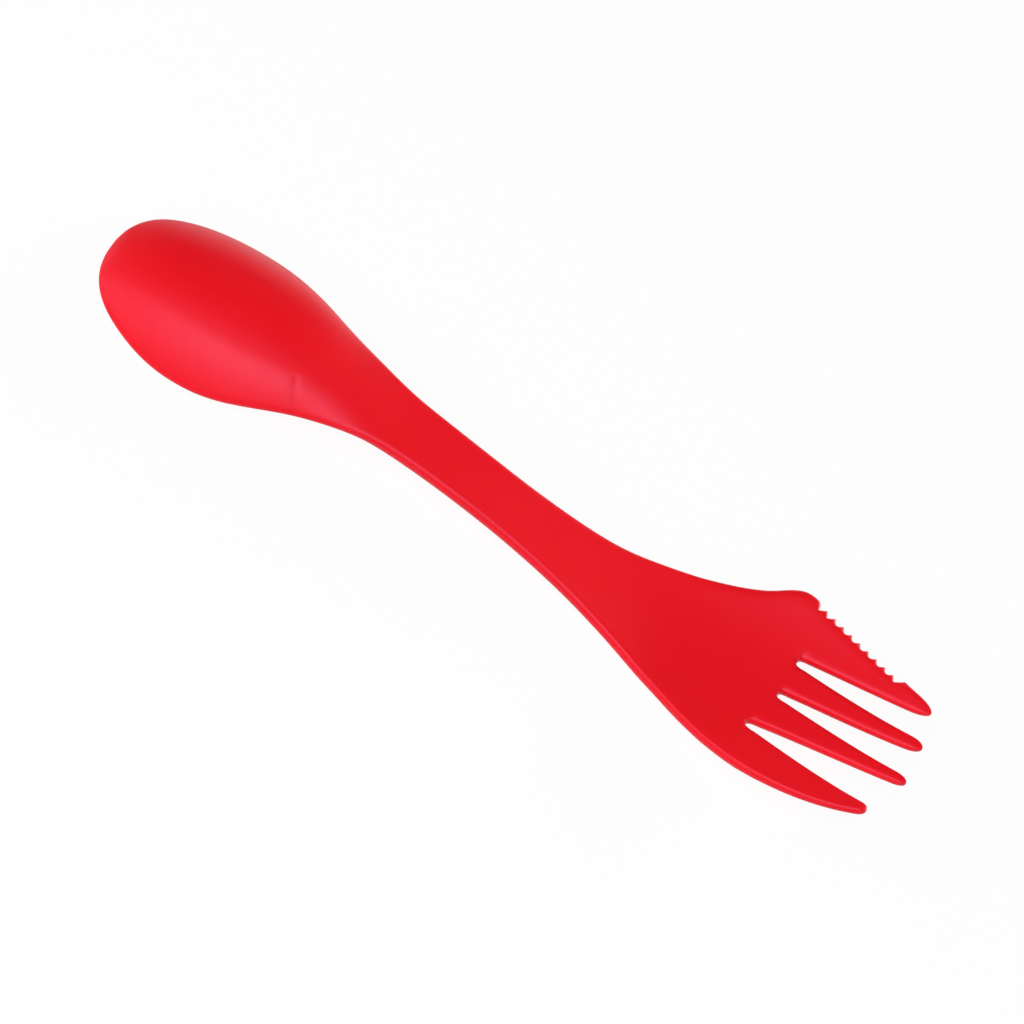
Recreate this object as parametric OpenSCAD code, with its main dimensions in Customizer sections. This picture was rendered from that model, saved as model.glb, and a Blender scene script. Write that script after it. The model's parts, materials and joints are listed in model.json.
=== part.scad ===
// Spork: a spoon at one end, a fork with a saw-edged outer tine at the other.
// One moulded shell. X runs from the spoon's tip to the fork's tips, Y to the saw side, Z up.
// It lies with the spoon's hollow down and the fork's hollow up, on the spoon's rim and the palm's belly.

/* [Outline] */
// Length from the spoon's tip to the longest tine's tip
length = 170; // [150:1:190]
// Width across the spoon
spoon_w = 31.4; // [28:0.1:36]
// Distance from the spoon's tip to its widest place
nose_l = 23.2; // [18:0.2:28]
// Width of the handle at its waist
waist_w = 11.6; // [10:0.1:14]
// Distance from the spoon's tip to the waist
waist_at = 81.5; // [76:0.5:86]
// Width across the fork
fork_w = 38.2; // [36:0.1:40]
// Distance from the longest tine's tip back to the widest place of the plain side
plain_side_at = 24.8; // [24:0.1:27]
// Distance over which the plain side would sweep in to the middle line
plain_side_sweep = 32.5; // [31.5:0.1:36]

/* [Side view] */
// Depth of the spoon's bowl, from its rim to the middle of its wall
bowl_depth = 7.8; // [5:0.1:9]
// Distance from the spoon's tip to where the bowl has run out into the handle
bowl_l = 63; // [58:0.5:68]
// Height of the handle's hump above the table, to the middle of its wall
hump_h = 7.8; // [6:0.05:10]
// Distance from the spoon's tip to the top of the hump
hump_at = 57; // [52:0.5:62]
// Distance from the longest tine's tip back to the lowest place of the palm
belly_at = 50.8; // [46:0.2:56]
// Height of the longest tine's tip above the table
tip_h = 11.4; // [8:0.1:13]
// Radius of the fork's dish, across the palm
dish_r = 66; // [50:1:100]

/* [Wall] */
// Thickness of the handle
handle_wall = 2.7; // [2.2:0.1:3.2]
// Thickness of the spoon's bowl
bowl_wall = 1.8; // [1.5:0.1:2.4]
// Thickness of the palm
palm_wall = 2.3; // [1.8:0.1:2.8]
// Thickness of the tines at their ends
tine_wall = 1.6; // [1.2:0.1:2.2]
// Width of the rounding along every edge
edge_round = 0.9; // [0.6:0.05:1.1]
// Height of the flat that stays along every edge, at the mould's parting line
edge_flat = 0.5; // [0.3:0.05:0.7]

/* [Tines] */
// Length of the middle slot, from its root to the longest tine's tip
middle_slot_l = 27.3; // [26:0.1:29]
// Length of the slot beside the saw tine
saw_slot_l = 27.5; // [26.5:0.1:29]
// Length of the slot beside the plain outer tine
plain_slot_l = 29.4; // [28:0.1:31]
// Width of each slot at its round root
slot_root_w = 1.3; // [1.2:0.05:1.8]
// Width of the middle slot, in line with the longest tine's tip
middle_slot_w = 5.6; // [5:0.1:6.4]
// Width of the slot beside the saw tine, in line with the longest tine's tip
saw_slot_w = 4.6; // [4.3:0.1:5.3]
// Width of the slot beside the plain outer tine, in line with the longest tine's tip
plain_slot_w = 7.4; // [6.3:0.1:7.5]
// Distance from the middle line to the centre of the middle slot, towards the saw side
middle_slot_y = 0.45; // [0.1:0.05:0.5]
// Distance from the middle line to the centre of the saw tine's slot
saw_slot_y = 7.95; // [7.6:0.05:8]
// Distance from the middle line to the centre of the plain outer tine's slot
plain_slot_y = 8.15; // [8:0.05:8.4]
// How far the saw tine stops short of the longest tine
saw_tine_short = 2.8; // [1.8:0.1:3.4]
// How far the middle tine on the saw side stops short
middle_tine_short = 0.8; // [0:0.1:1.2]
// How far the plain outer tine stops short
plain_tine_short = 3.4; // [2.4:0.1:4]
// Length of the rounding at the end of a tine
tine_tip_l = 2.7; // [2:0.1:3.4]

/* [Saw edge] */
// Number of teeth
teeth = 9; // [7:1:9]
// Distance from tooth to tooth
tooth_pitch = 2.06; // [1.9:0.01:2.1]
// Depth of each tooth
tooth_depth = 0.9; // [0.7:0.01:1.1]
// Angle between the saw edge and the spork's length
saw_angle = 15.7; // [14.5:0.1:16]
// Distance from the longest tine's tip back to the first tooth's tip
saw_at = 27.9; // [27.1:0.1:28]
// How far the shoulder's corner lies inside the fork's width
shoulder_drop = 0.4; // [0.2:0.05:0.8]
// How far the shoulder's corner stands proud of the teeth
shoulder_proud = 0.35; // [0.2:0.05:0.6]
// How far the plain end of the saw tine stands proud of the teeth
saw_end_proud = 0.55; // [0.4:0.05:1]
// Width of the bevel behind the teeth's roots
saw_bevel = 0.6; // [0.4:0.05:0.8]

/* [Hidden] */

// Places along the spork, with its middle at zero
tip_x = -length / 2;
end_x = length / 2;
wide_x = tip_x + nose_l;
hump_x = tip_x + hump_at;
bowl_end_x = tip_x + bowl_l;
waist_x = tip_x + waist_at;
belly_x = end_x - belly_at;
plain_wide_x = end_x - plain_side_at;

// The saw side takes a little more than half of the fork's width
saw_side_share = 0.53;
saw_half = fork_w * saw_side_share;
plain_half = fork_w - saw_half;

// Outline of the neck, from the spoon's widest place to the waist: [distance, width]
neck_shares = [[0, 1], [0.11, 0.937], [0.22, 0.735], [0.34, 0.45], [0.465, 0.233], [0.6, 0.073], [0.79, 0.013],
    [1, 0]];
// Outline of the plain side, from the waist to its widest place
plain_side_shares = [[0, 0], [0.16, 0.019], [0.3, 0.081], [0.41, 0.174], [0.535, 0.324], [0.66, 0.537],
    [0.77, 0.751], [0.88, 0.916], [1, 1]];
// Outline of the saw side, from the waist to the shoulder's corner
saw_side_shares = [[0, 0], [0.17, 0.032], [0.32, 0.09], [0.435, 0.177], [0.57, 0.357], [0.703, 0.543],
    [0.787, 0.674], [0.854, 0.806], [0.913, 0.97], [0.957, 1.032], [1, 1]];
// Height of the rim, from the spoon's tip to the top of the hump
rim_shares = [[0, 0.035], [0.1, 0.006], [0.26, 0.028], [0.36, 0.1], [0.47, 0.25], [0.565, 0.446], [0.66, 0.658],
    [0.78, 0.827], [1, 1]];
// Fall of the handle, from the top of the hump to the palm's belly
fall_shares = [[0, 0], [0.16, 0.057], [0.38, 0.254], [0.55, 0.484], [0.72, 0.71], [0.87, 0.889], [1, 1]];
// Rise of the fork, from the palm's belly to the longest tine's tip, and its slope there
rise_shares = [[0, 0], [0.125, 0.049], [0.32, 0.188], [0.515, 0.386], [0.71, 0.589], [0.865, 0.785], [1, 1]];
tip_slope_share = 1.45;
// Power of the curve that rounds the spoon's nose and bowl, where 2 is an ellipse
nose_power = 2.13;
// How much fuller than that curve the bowl is, and how far each slot's sides bow
bowl_fullness_share = 0.25;
slot_bow_shares = [0.45, 0.09, 0.48];
// The plain outer tine is the bluntest, and the saw tine the most pointed
tip_round_shares = [1.15, 1, 0.93, 0.52];
// Place of a root between two teeth's tips, from the handle's side
tooth_root_share = 0.45;
// Widest share of a tine that one rounded edge may take
edge_width_share = 0.3;
// How high an edge has risen at its first, middle and last line, and how far in the middle line lies
edge_rise_shares = [0, 0.7, 1];
edge_in_shares = [0, 0.29, 1];

// A smooth curve through a table's points, level at its start
function bend(t, i, last_slope) =
    i == 0 ? 0
    : i == len(t) - 1 ? last_slope
    : (t[i + 1][1] - t[i - 1][1]) / (t[i + 1][0] - t[i - 1][0]);
function span_of(t, f, i = 0) = i >= len(t) - 2 || f < t[i + 1][0] ? i : span_of(t, f, i + 1);
function curve(t, f, last_slope = 0) =
    let (
        i = span_of(t, f),
        step = t[i + 1][0] - t[i][0],
        u = (f - t[i][0]) / step,
        a = t[i][1],
        b = t[i + 1][1],
        m = bend(t, i, last_slope) * step,
        n = bend(t, i + 1, last_slope) * step
    )
    a + u * (m + u * (3 * (b - a) - 2 * m - n + u * (2 * (a - b) + m + n)));

function clamped(f) = min(1, max(0, f));
function ease(f) = let (c = clamped(f)) c * c * (3 - 2 * c);
function mix(a, b, f) = a + (b - a) * f;
function quarter_round(f) = let (c = clamped(f)) sqrt(1 - (1 - c) * (1 - c));

// Saw edge, laid out along the line of the teeth's tips: a along it, n outwards from it
saw_x = end_x - saw_at;
shoulder_y = saw_half - shoulder_drop;
saw_y = shoulder_y - tooth_pitch * sin(saw_angle) - shoulder_proud * cos(saw_angle);
function saw_place(a, n) =
    [saw_x + a * cos(saw_angle) + n * sin(saw_angle), saw_y - a * sin(saw_angle) + n * cos(saw_angle)];
last_root = (teeth - 1 + tooth_root_share) * tooth_pitch;
saw_profile = concat(
    [saw_place(-tooth_pitch, shoulder_proud)],
    [for (k = [0 : teeth - 1]) each [
        saw_place((k - 1 + tooth_root_share) * tooth_pitch, -tooth_depth),
        saw_place(k * tooth_pitch, 0)
    ]],
    [saw_place(last_root, -tooth_depth)],
    [saw_place(last_root + tooth_depth + saw_end_proud, saw_end_proud)],
    [saw_place(saw_at / cos(saw_angle), saw_end_proud)]
);
shoulder_x = saw_profile[0][0];
// The straight line behind the teeth, where the bevel reaches the full wall
function bevel_line(x) = saw_y - (x - saw_x) * tan(saw_angle) - tooth_depth / cos(saw_angle) - saw_bevel;

// Half widths, from the middle line to each side
function spoon_half(x) =
    spoon_w / 2 * pow(max(0, 1 - pow(max(0, wide_x - x) / nose_l, nose_power)), 1 / nose_power);
function neck_half(x) = mix(waist_w, spoon_w, curve(neck_shares, (x - wide_x) / (waist_x - wide_x))) / 2;
function palm_half(x) =
    mix(waist_w / 2, plain_half, curve(plain_side_shares, (x - waist_x) / (plain_wide_x - waist_x)));
function plain_side(x) =
    x < wide_x ? spoon_half(x)
    : x < waist_x ? neck_half(x)
    : x < plain_wide_x ? palm_half(x)
    : plain_half * sqrt(max(0, 1 - pow((x - plain_wide_x) / plain_side_sweep, 2)));
function saw_side(x) =
    x < waist_x ? plain_side(x)
    : x < shoulder_x ?
        mix(waist_w / 2, shoulder_y, curve(saw_side_shares, (x - waist_x) / (shoulder_x - waist_x)))
    : lookup(x, saw_profile);

// Slots, from the saw side to the plain side
root_x = [end_x - saw_slot_l, end_x - middle_slot_l, end_x - plain_slot_l];
slot_l = [saw_slot_l, middle_slot_l, plain_slot_l];
slot_w = [saw_slot_w, middle_slot_w, plain_slot_w];
slot_y = [saw_slot_y, middle_slot_y, -plain_slot_y];
function slot_line(k, x) = slot_y[k] * (x < root_x[k] ? plain_side(x) / plain_side(root_x[k]) : 1);
function slot_half(k, x) =
    let (d = x - root_x[k], f = d / slot_l[k], g = f + slot_bow_shares[k] * f * (1 - f))
    d <= 0 ? 0 : mix(slot_root_w, slot_w[k], g) / 2 * quarter_round(d * 2 / slot_root_w);

// Tines, from the saw side to the plain side
tine_end_x = [end_x - saw_tine_short, end_x - middle_tine_short, end_x, end_x - plain_tine_short];
tine_tip = tine_tip_l * tip_round_shares;
last_root_x = max(root_x);
function tine_edges(s, x) =
    let (
        outer = s == 0 ? saw_side(x) : slot_line(s - 1, x) - slot_half(s - 1, x),
        inner = s == 3 ? -plain_side(x) : slot_line(s, x) + slot_half(s, x),
        left = (tine_end_x[s] - x) / tine_tip[s],
        shrink = (outer - inner) / 2 * (1 - quarter_round(left))
    )
    [outer - shrink, inner + shrink];

// Middle of the wall: a line along the spork, the bowl's dome above it and the fork's dish
belly_z = palm_wall / 2;
rim_z = edge_flat / 2;
function line_z(x) =
    x < hump_x ? mix(rim_z, hump_h, curve(rim_shares, (x - tip_x) / hump_at))
    : x < belly_x ? mix(hump_h, belly_z, curve(fall_shares, (x - hump_x) / (belly_x - hump_x)))
    : mix(belly_z, tip_h, curve(rise_shares, (x - belly_x) / belly_at, tip_slope_share));
function fullness(s) = (1 - s) * (1 + bowl_fullness_share * s);
function dome_z(x, y) =
    x > bowl_end_x ? 0
    : x < wide_x ?
        bowl_depth * fullness(pow((wide_x - x) / nose_l, nose_power) + pow(abs(2 * y / spoon_w), nose_power))
    : bowl_depth * (1 - ease((x - wide_x) / (bowl_end_x - wide_x)))
        * fullness(pow(abs(y / plain_side(x)), nose_power));
function dish_z(x, y) = y * y / (2 * dish_r) * ease((x - waist_x) / (belly_x - waist_x));
function wall_z(x, y) = line_z(x) + dome_z(x, y) + dish_z(x, y);

// Thickness of the wall along the spork
function wall_at(x) =
    x < waist_x ? mix(bowl_wall, handle_wall, ease((x - wide_x) / (bowl_end_x - wide_x)))
    : x < last_root_x ? mix(handle_wall, palm_wall, ease((x - waist_x) / (belly_x - waist_x)))
    : mix(palm_wall, tine_wall, (x - last_root_x) / (end_x - last_root_x));

// Direction square to the wall
probe = edge_flat / 10;
function square_to_wall(x, y) =
    let (n = [
        wall_z(x - probe, y) - wall_z(x + probe, y),
        wall_z(x, y - probe) - wall_z(x, y + probe),
        2 * probe
    ])
    n / norm(n);

// Stations along the spork
nose_steps = 10;
neck_steps = 26;
palm_steps = 15;
root_steps = 3;
tine_steps = 8;
tip_steps = 4;
function sorted(v) =
    len(v) < 2 ? v
    : let (p = v[floor(len(v) / 2)])
    concat(sorted([for (x = v) if (x < p) x]), [p], sorted([for (x = v) if (x > p) x]));
shared_end_x = last_root_x + slot_root_w / 2;
function between(v, from, to) = [for (x = v) if (x > from && x < to) x];
saw_stations = [for (p = saw_profile) p[0]];
function root_stations(k) = [for (i = [0 : root_steps]) root_x[k] + slot_root_w / 2 * (1 - cos(90 * i / root_steps))];
root_zone_x = min(min(root_x), shoulder_x);
shared_stations = sorted(concat(
    [for (i = [0 : nose_steps]) wide_x - nose_l * cos(90 * i / nose_steps)],
    [for (i = [1 : neck_steps]) mix(wide_x, belly_x, i / neck_steps)],
    [for (i = [1 : palm_steps - 1]) mix(belly_x, root_zone_x, i / palm_steps)],
    [for (k = [0 : 2], x = root_stations(k)) if (x <= shared_end_x) x],
    between(saw_stations, belly_x, shared_end_x),
    [shared_end_x]
));
function tine_stations(s) =
    let (start = tine_end_x[s] - tine_tip[s])
    sorted(concat(
        s == 0 ? between(saw_stations, shared_end_x, start) : [],
        [for (i = [1 : tine_steps - 1]) if (s > 0) mix(shared_end_x, start, i / tine_steps)],
        [for (i = [0 : tip_steps]) start + tine_tip[s] * sin(90 * i / tip_steps)]
    ));
stations = [for (s = [0 : 3]) concat(shared_stations, tine_stations(s))];

// Lines across a tine and what lies upstream of it, from its outer to its inner edge
lines = 8;
function outer_in(s, x, width) =
    let (
        saw_in = saw_side(max(x, shoulder_x)) - bevel_line(max(x, shoulder_x)),
        wanted = s > 0 ? edge_round : mix(edge_round, saw_in, ease((x - belly_x) / (shoulder_x - belly_x)))
    )
    min(wanted, width * edge_width_share);
function line_places(s, x) =
    let (
        e = tine_edges(s, x),
        width = e[0] - e[1],
        from_outer = outer_in(s, x, width),
        from_inner = min(edge_round, width * edge_width_share),
        a = e[0] - from_outer,
        b = e[1] + from_inner
    )
    concat(
        [for (k = edge_in_shares) e[0] - from_outer * k],
        [mix(a, b, 1 / 3), mix(a, b, 2 / 3)],
        [for (k = [2 : -1 : 0]) e[1] + from_inner * edge_in_shares[k]]
    );
// How far each line has risen to the full wall; a slot's sides start full at its root
function open_share(s, x, inner) =
    (s == 0 && !inner) || (s == 3 && inner) ? 1
    : let (k = inner ? s : s - 1) clamped((x - root_x[k]) / slot_root_w);
function line_rise(s, x, j) =
    let (inner = j > 3, step = inner ? lines - 1 - j : j)
    step > 2 ? 1 : mix(1, edge_rise_shares[step], open_share(s, x, inner));
function end_rise(s, x) =
    min(quarter_round((x - tip_x) / edge_round), quarter_round((tine_end_x[s] - x) / tine_tip[s]));

middle_y = (saw_half - plain_half) / 2;
function wall_point(s, x, y, j, side) =
    let (
        rise = min(line_rise(s, x, j), end_rise(s, x)),
        h = mix(edge_flat, wall_at(x), rise) / 2
    )
    [x, y - middle_y, wall_z(x, y)] + side * h * square_to_wall(x, y);
function face_points(s, side) =
    [for (x = stations[s]) let (places = line_places(s, x)) for (j = [0 : lines - 1])
        wall_point(s, x, places[j], j, side)];
loose_points = [for (s = [0 : 3], side = [1, -1]) each face_points(s, side)];
low_z = min([for (p = loose_points) p[2]]);
points = [for (p = loose_points) p - [0, 0, low_z]];

// Number of a point: tine s, station i, line j, upper or lower face
counts = [for (v = stations) len(v)];
starts = [0, counts[0], counts[0] + counts[1], counts[0] + counts[1] + counts[2]];
function own_number(s, i, j, lower) = (2 * starts[s] + lower * counts[s] + i) * lines + j;
function joined(s, i) = s > 0 && i < len(shared_stations) && shared_stations[i] <= root_x[s - 1];
function number(s, i, j, lower) =
    i == 0 ? own_number(0, 0, 0, lower)
    : i == counts[s] - 1 ? own_number(s, i, 0, lower)
    : j == 0 && joined(s, i) ? own_number(s - 1, i, lines - 1, lower)
    : own_number(s, i, j, lower);
function triangles(a, b, c, d) = concat(a == b || b == c ? [] : [[a, b, c]], c == d || d == a ? [] : [[a, c, d]]);
function cell(s, i, j) = concat(
    triangles(number(s, i, j, 0), number(s, i + 1, j, 0), number(s, i + 1, j + 1, 0), number(s, i, j + 1, 0)),
    triangles(number(s, i, j + 1, 1), number(s, i + 1, j + 1, 1), number(s, i + 1, j, 1), number(s, i, j, 1))
);
function outer_wall(s, i) =
    s > 0 && joined(s, i + 1) ? []
    : triangles(number(s, i + 1, 0, 1), number(s, i + 1, 0, 0), number(s, i, 0, 0), number(s, i, 0, 1));
function inner_wall(s, i) =
    s < 3 && joined(s + 1, i + 1) ? []
    : triangles(number(s, i, lines - 1, 1), number(s, i, lines - 1, 0), number(s, i + 1, lines - 1, 0),
        number(s, i + 1, lines - 1, 1));
faces = [for (s = [0 : 3], i = [0 : counts[s] - 2]) each concat(
    [for (j = [0 : lines - 2]) each cell(s, i, j)],
    outer_wall(s, i),
    inner_wall(s, i)
)];

module spork() {
    color("crimson")
    polyhedron(points = points, faces = faces, convexity = 6);
}

spork();
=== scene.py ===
import json
from math import atan2, cos, degrees, exp, radians, sin, tan

import bpy
from mathutils import Matrix, Vector

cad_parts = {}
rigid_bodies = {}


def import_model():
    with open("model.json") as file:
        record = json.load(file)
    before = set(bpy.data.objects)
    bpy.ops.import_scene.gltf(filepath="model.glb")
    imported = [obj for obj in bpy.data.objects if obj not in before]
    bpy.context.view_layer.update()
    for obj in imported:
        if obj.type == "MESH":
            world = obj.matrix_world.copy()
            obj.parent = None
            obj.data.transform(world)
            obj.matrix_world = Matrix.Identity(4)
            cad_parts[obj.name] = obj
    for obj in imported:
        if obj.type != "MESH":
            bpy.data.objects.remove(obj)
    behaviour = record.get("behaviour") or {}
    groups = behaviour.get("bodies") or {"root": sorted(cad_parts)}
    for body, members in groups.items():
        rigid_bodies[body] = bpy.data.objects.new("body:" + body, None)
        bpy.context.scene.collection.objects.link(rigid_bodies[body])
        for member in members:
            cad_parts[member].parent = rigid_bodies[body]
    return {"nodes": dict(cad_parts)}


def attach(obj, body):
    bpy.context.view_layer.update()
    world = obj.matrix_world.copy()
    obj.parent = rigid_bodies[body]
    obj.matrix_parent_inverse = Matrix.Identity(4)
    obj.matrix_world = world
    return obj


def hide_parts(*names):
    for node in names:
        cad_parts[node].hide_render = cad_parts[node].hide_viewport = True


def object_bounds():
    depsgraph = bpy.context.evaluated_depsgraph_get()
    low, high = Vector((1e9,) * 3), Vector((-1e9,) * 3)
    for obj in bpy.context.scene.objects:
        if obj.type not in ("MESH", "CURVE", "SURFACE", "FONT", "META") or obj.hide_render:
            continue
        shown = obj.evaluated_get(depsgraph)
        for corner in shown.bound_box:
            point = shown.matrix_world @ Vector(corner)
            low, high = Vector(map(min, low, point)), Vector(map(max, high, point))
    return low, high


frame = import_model()
cad_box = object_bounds()
scene = bpy.context.scene

# The spork is one moulding of tough plastic, red right through, shot into a polished two-part mould.
# Spoon, handle and fork are a single curved shell with a rounded edge all round, and the saw teeth on
# the outer tine are moulded with it, so nothing is joined or fixed.
solid = frame["nodes"]["spork"]
spork = bpy.data.objects.new("spork_moulding", solid.data.copy())
scene.collection.objects.link(spork)


def take(piece):
    """Makes a piece the only one selected, so that an operator works on nothing else."""
    bpy.ops.object.select_all(action="DESELECT")
    piece.select_set(True)
    bpy.context.view_layer.objects.active = piece


take(spork)
same_place = 0.000001
bpy.ops.object.mode_set(mode="EDIT")
bpy.ops.mesh.select_all(action="SELECT")
bpy.ops.mesh.remove_doubles(threshold=same_place)
bpy.ops.mesh.tris_convert_to_quads(
    face_threshold=radians(60), shape_threshold=radians(120), topology_influence=1
)
bpy.ops.mesh.select_mode(type="VERT")
bpy.ops.mesh.select_all(action="DESELECT")
bpy.ops.object.mode_set(mode="OBJECT")

# Short upright edges run all round the outline, across the flat at the mould's parting line.
edge_flat = 0.0005
edge_round = 0.0009
shortest_flat = edge_flat * 0.94
longest_flat = edge_flat * 1.06
upright_share = 0.6
points = spork.data.vertices


def upright_edges(shortest, longest):
    """The edges of the cage that stand across the wall and have a length between two limits."""
    found = []
    for edge in spork.data.edges:
        low, high = sorted((points[k].co for k in edge.vertices), key=lambda place: place.z)
        across = high - low
        if shortest < across.length < longest and across.z > upright_share * across.length:
            found.append((edge, (low + high) / 2, across))
    return found


# The saw's teeth stay sharp: each corner and edge of the outline there is creased.
saw_start_x = 0.0557
saw_end_x = 0.0757
saw_angle = radians(15.7)
first_tooth = Vector((0.0571, 0.0178))
tooth_band = 0.0014
on_saw = set()
for edge, place, _ in upright_edges(shortest_flat, longest_flat):
    tip_line_y = first_tooth.y - (place.x - first_tooth.x) * tan(saw_angle)
    if saw_start_x < place.x < saw_end_x and place.y > tip_line_y - tooth_band:
        on_saw.update(edge.vertices)
for edge in spork.data.edges:
    edge.select = on_saw.issuperset(edge.vertices)
for k in on_saw:
    points[k].select = True
bpy.ops.object.mode_set(mode="EDIT")
bpy.ops.transform.edge_crease(value=1)
bpy.ops.transform.vert_crease(value=1)
bpy.ops.mesh.select_all(action="DESELECT")
bpy.ops.object.mode_set(mode="OBJECT")

# The spoon's outline is fuller beside its nose and rounder at its tip than the plain curve of the cage. Each
# pair is a direction from the nose towards the plain side, in degrees, and how far the rim goes out there.
# The amounts follow differences measured between a render and the photograph.
spoon_middle = Vector((-0.072, -0.0011))
still_inside = 0.006
full_outside = 0.012
rim_moves = [(-80, 0), (-66, 0.00012), (-50, 0.00022), (-36, 0.00008), (-24, -0.00012), (-13, -0.00024),
             (-6, -0.0001), (0, -0.00003), (7, 0), (12, -0.00002), (22, 0.0002), (32, 0.00038), (44, 0.0003),
             (58, 0.00006), (70, -0.00012), (84, -0.00018), (96, -0.00012), (108, 0)]
for point in points:
    out = point.co.xy - spoon_middle
    toward = degrees(atan2(-out.y, -out.x))
    for (start, move), (end, next_move) in zip(rim_moves, rim_moves[1:]):
        if start < toward <= end and out.length > still_inside:
            share = min(1, (out.length - still_inside) / (full_outside - still_inside))
            way = move + (next_move - move) * (toward - start) / (end - start)
            point.co.xy += out.normalized() * way * share

# The two poles of the cage at the nose keep their place, so that the smoothing draws no dent there.
nose = Vector((-0.085, -0.001146, 0.0005))
pole_reach = 0.0004
for point in points:
    point.select = (point.co - nose).length < pole_reach
bpy.ops.object.mode_set(mode="EDIT")
bpy.ops.transform.vert_crease(value=1)
bpy.ops.mesh.select_all(action="DESELECT")
bpy.ops.object.mode_set(mode="OBJECT")

# The rim of each slot's root is rounded over like every other edge of the moulding.
wall = 0.0023
slot_roots = [Vector((0.0575, 0.0068)), Vector((0.0577, -0.0007)), Vector((0.0556, -0.0093))]
slot_root_w = 0.0013
rim_reach = slot_root_w * 1.2
tallest_rim = wall * 1.02
rim_edges = upright_edges(longest_flat, tallest_rim)
for root in slot_roots:
    rim = [(place, across) for _, place, across in rim_edges if (place.xy - root).length < rim_reach]
    middle, across = min(rim, key=lambda pair: (pair[0].xy - root).length)
    square = across.normalized()
    for point in points:
        if (point.co.xy - root).length > slot_root_w + edge_round:
            continue
        from_rim = min((place.xy - point.co.xy).length for place, _ in rim)
        rounded = (1 - (1 - min(1, from_rim / edge_round)) ** 2) ** 0.5
        wanted = edge_flat + (wall - edge_flat) * rounded
        opened = min(1, max(0, (point.co.x - root.x) / slot_root_w))
        present = wall + (wanted - wall) * opened
        point.co += square * (point.co - middle).dot(square) * (wanted / present - 1)


def smoothed(piece):
    """Gives a piece the fine, even surface that it takes from the mould."""
    take(piece)
    fine = piece.modifiers.new("fine surface", "SUBSURF")
    fine.levels = 2
    fine.render_levels = 2
    bpy.ops.object.modifier_apply(modifier=fine.name)


# Smoothing draws a surface in a little, so this one is first let out by a share of what it would lose.
let_out_share = 0.4
trial = bpy.data.objects.new("trial", spork.data.copy())
scene.collection.objects.link(trial)
smoothed(trial)
for point, drawn_in in zip(spork.data.vertices, trial.data.vertices):
    point.co += (point.co - drawn_in.co) * let_out_share
bpy.data.objects.remove(trial)
smoothed(spork)

# The folds that are left round the nose's poles and at the slots' roots are rubbed out.
nose_reach = 0.0042
root_reach = slot_root_w * 1.6
for point in spork.data.vertices:
    at_nose = (point.co - nose).length < nose_reach and point.co.x < nose.x + edge_round
    at_root = any((point.co.xy - root).length < root_reach for root in slot_roots)
    point.select = at_nose or at_root
bpy.ops.object.mode_set(mode="EDIT")
bpy.ops.mesh.vertices_smooth(factor=0.5, repeat=18)
bpy.ops.mesh.select_all(action="DESELECT")
bpy.ops.object.mode_set(mode="OBJECT")

# A short mark, taken to be a sink mark, lies across the near flank of the spoon's neck. Three places of its
# path were found under the mark in the photograph and moved a little.
mark_path = [Vector(place) for place in ((-0.04505, -0.00735, 0.0106), (-0.04433, -0.00864, 0.01),
                                         (-0.04359, -0.00967, 0.00936), (-0.04284, -0.01064, 0.00861),
                                         (-0.0421, -0.01135, 0.0079))]
mark_depth = 0.00009
mark_half_w = 0.0007
mark_reach = 0.0048
for face in spork.data.polygons:
    face.select = (face.center - mark_path[2]).length < mark_reach and face.normal.z > 0
bpy.ops.object.mode_set(mode="EDIT")
bpy.ops.mesh.select_mode(type="FACE")
bpy.ops.mesh.subdivide(number_cuts=3, smoothness=1)
bpy.ops.mesh.select_less()
bpy.ops.mesh.vertices_smooth(factor=0.5, repeat=5)
bpy.ops.mesh.select_all(action="DESELECT")
bpy.ops.object.mode_set(mode="OBJECT")
sunk = []
for point in spork.data.vertices:
    if (point.co - mark_path[2]).length < mark_reach and point.normal.z > 0:
        nearest = []
        for start, end in zip(mark_path, mark_path[1:]):
            along = max(0, min(1, (point.co - start).dot(end - start) / (end - start).length_squared))
            nearest.append((point.co - start.lerp(end, along)).length)
        sunk.append((point, point.normal * mark_depth * exp(-(min(nearest) / mark_half_w) ** 2)))
for point, sink in sunk:
    point.co -= sink
bpy.ops.object.shade_smooth_by_angle(angle=radians(35))


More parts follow.
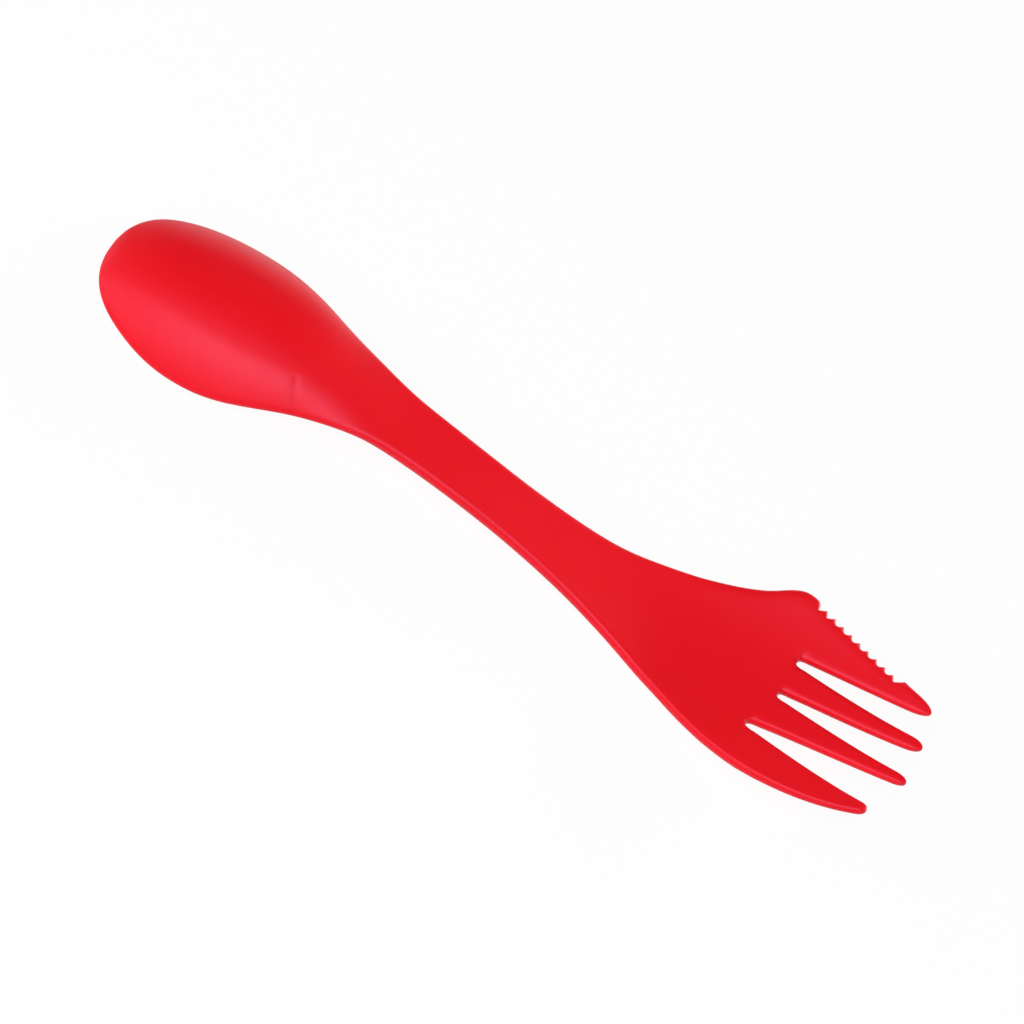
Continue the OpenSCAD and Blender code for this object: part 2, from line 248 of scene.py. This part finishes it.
def red_plastic():
    """Satin red plastic, as it leaves the mould, with the faint scuffs that use leaves on it."""
    material = bpy.data.materials.new("red moulded plastic")
    material.use_nodes = True
    nodes, links = material.node_tree.nodes, material.node_tree.links
    shader = nodes["Principled BSDF"]
    shader.inputs["Specular IOR Level"].default_value = 0.35
    shader.inputs["Specular Tint"].default_value = (1, 0.6, 1, 1)
    place = nodes.new("ShaderNodeTexCoord")

    # The dye clouds the colour a little from place to place.
    clouds = nodes.new("ShaderNodeTexNoise")
    clouds.inputs["Scale"].default_value = 45
    clouds.inputs["Detail"].default_value = 3
    dye = nodes.new("ShaderNodeValToRGB")
    dye.color_ramp.elements[0].position = 0.3
    dye.color_ramp.elements[0].color = (0.785, 0.0046, 0.0096, 1)
    dye.color_ramp.elements[1].position = 0.7
    dye.color_ramp.elements[1].color = (0.81, 0.0050, 0.0102, 1)
    links.new(place.outputs["Object"], clouds.inputs["Vector"])
    links.new(clouds.outputs["Fac"], dye.inputs["Fac"])
    links.new(dye.outputs["Color"], shader.inputs["Base Color"])

    # The mould's polish varies, and handling has scuffed the surface in fine lines, mostly along the spork.
    polish = nodes.new("ShaderNodeTexNoise")
    polish.inputs["Scale"].default_value = 260
    polish.inputs["Detail"].default_value = 4
    stretch = nodes.new("ShaderNodeMapping")
    stretch.inputs["Scale"].default_value = (0.12, 1, 1)
    stretch.inputs["Rotation"].default_value = (0, 0, radians(12))
    scuffs = nodes.new("ShaderNodeTexNoise")
    scuffs.inputs["Scale"].default_value = 1900
    scuffs.inputs["Detail"].default_value = 2
    scuffed = nodes.new("ShaderNodeMapRange")
    scuffed.inputs["From Min"].default_value = 0.62
    scuffed.inputs["From Max"].default_value = 0.72
    scuffed.inputs["To Max"].default_value = 0.05
    gloss = nodes.new("ShaderNodeMapRange")
    gloss.inputs["From Min"].default_value = 0.25
    gloss.inputs["From Max"].default_value = 0.75
    gloss.inputs["To Min"].default_value = 0.39
    gloss.inputs["To Max"].default_value = 0.43
    roughness = nodes.new("ShaderNodeMath")
    links.new(place.outputs["Object"], polish.inputs["Vector"])
    links.new(place.outputs["Object"], stretch.inputs["Vector"])
    links.new(stretch.outputs["Vector"], scuffs.inputs["Vector"])
    links.new(scuffs.outputs["Fac"], scuffed.inputs["Value"])
    links.new(polish.outputs["Fac"], gloss.inputs["Value"])
    links.new(gloss.outputs["Result"], roughness.inputs[0])
    links.new(scuffed.outputs["Result"], roughness.inputs[1])
    links.new(roughness.outputs["Value"], shader.inputs["Roughness"])

    # The plastic shrinks a little unevenly as it cools, which leaves a very fine waviness.
    waves = nodes.new("ShaderNodeTexNoise")
    waves.inputs["Scale"].default_value = 1400
    waves.inputs["Detail"].default_value = 3
    waviness = nodes.new("ShaderNodeBump")
    waviness.inputs["Strength"].default_value = 0.25
    waviness.inputs["Distance"].default_value = 0.00002
    links.new(place.outputs["Object"], waves.inputs["Vector"])
    links.new(waves.outputs["Fac"], waviness.inputs["Height"])
    links.new(waviness.outputs["Normal"], shader.inputs["Normal"])
    return material


spork.data.materials.clear()
spork.data.materials.append(red_plastic())
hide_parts("spork")
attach(spork, "root")

# The table is a plain white sheet that stays white to the eye and still takes the spork's soft shadow.
middle = (cad_box[0] + cad_box[1]) / 2
table_size = 6
bpy.ops.mesh.primitive_plane_add(size=table_size, location=(middle.x, middle.y, 0))
table = bpy.context.object
table.name = "table"
white = bpy.data.materials.new("white table")
white.use_nodes = True
nodes, links = white.node_tree.nodes, white.node_tree.links
nodes["Principled BSDF"].inputs["Base Color"].default_value = (0.9, 0.9, 0.9, 1)
nodes["Principled BSDF"].inputs["Roughness"].default_value = 0.9
seen = nodes.new("ShaderNodeLightPath")
either = nodes.new("ShaderNodeMath")
either.operation = "MAXIMUM"
glow = nodes.new("ShaderNodeEmission")
glow_share = nodes.new("ShaderNodeMath")
glow_share.operation = "MULTIPLY"
glow_share.inputs[1].default_value = 0.92
blend = nodes.new("ShaderNodeMixShader")
links.new(seen.outputs["Is Camera Ray"], either.inputs[0])
links.new(seen.outputs["Is Glossy Ray"], either.inputs[1])
links.new(either.outputs[0], glow_share.inputs[0])
links.new(glow_share.outputs[0], blend.inputs["Fac"])
links.new(nodes["Principled BSDF"].outputs["BSDF"], blend.inputs[1])
links.new(glow.outputs["Emission"], blend.inputs[2])
links.new(blend.outputs["Shader"], nodes["Material Output"].inputs["Surface"])
table.data.materials.append(white)

# The room is a pale, even studio, white where the camera sees past the table.
room = bpy.data.worlds.new("studio")
scene.world = room
room.use_nodes = True
nodes, links = room.node_tree.nodes, room.node_tree.links
even = nodes["Background"]
even.inputs["Color"].default_value = (1, 1, 1, 1)
even.inputs["Strength"].default_value = 0.1
plain = nodes.new("ShaderNodeBackground")
plain.inputs["Color"].default_value = (1, 1, 1, 1)
plain.inputs["Strength"].default_value = 1
seen = nodes.new("ShaderNodeLightPath")
blend = nodes.new("ShaderNodeMixShader")
links.new(seen.outputs["Is Camera Ray"], blend.inputs["Fac"])
links.new(even.outputs["Background"], blend.inputs[1])
links.new(plain.outputs["Background"], blend.inputs[2])
links.new(blend.outputs["Shader"], nodes["World Output"].inputs["Surface"])


def softbox(name, azimuth, elevation, width, height, power):
    """A softbox 1 m away that faces the spork from a compass direction, 0 along +X, and a height."""
    toward = Vector((cos(azimuth) * cos(elevation), sin(azimuth) * cos(elevation), sin(elevation)))
    lamp = bpy.data.lights.new(name, "AREA")
    lamp.shape = "RECTANGLE"
    lamp.size = width
    lamp.size_y = height
    lamp.energy = power
    box = bpy.data.objects.new(name, lamp)
    box.location = middle + toward
    box.rotation_euler = toward.to_track_quat("Z", "Y").to_euler()
    box.visible_camera = False
    scene.collection.objects.link(box)


softbox("key_softbox", radians(265), radians(52), 1.1, 0.9, power=4.7)
softbox("high_softbox", radians(265), radians(67), 1.0, 0.45, power=4.8)
softbox("near_strip", radians(265), radians(10), 1.2, 0.25, power=0.2)
softbox("left_softbox", radians(205), radians(30), 0.8, 0.5, power=2.3)
softbox("left_strip", radians(180), radians(9), 1.2, 0.25, power=2.2)
softbox("right_strip", radians(45), radians(8), 0.8, 0.25, power=8.5)

# The camera looks down on the plain side from far away through a long lens, so the spork keeps its true
# shape, and it is turned so that the spork lies across the picture.
view_tilt = radians(30.155)
view_lean = radians(3.869)
view_turn = radians(32.854)
lean_and_tilt = Matrix.Rotation(-view_lean, 3, "Y") @ Matrix.Rotation(view_tilt, 3, "X")
turn = lean_and_tilt @ Matrix.Rotation(view_turn, 3, "Z")
frame_size = 1024
pixels_per_metre = 5623
origin_pixel = Vector((504.57, 517.03))
camera_distance = 5
shift_right = (frame_size / 2 - origin_pixel.x) / pixels_per_metre
shift_up = (origin_pixel.y - frame_size / 2) / pixels_per_metre
aim = turn @ Vector((shift_right, shift_up, 0))
lens = bpy.data.cameras.new("camera")
lens.sensor_width = 36
lens.lens = lens.sensor_width * camera_distance * pixels_per_metre / frame_size
camera = bpy.data.objects.new("camera", lens)
camera.matrix_world = Matrix.Translation(aim + turn @ Vector((0, 0, camera_distance))) @ turn.to_4x4()
scene.collection.objects.link(camera)
scene.camera = camera

scene.view_settings.view_transform = "Standard"
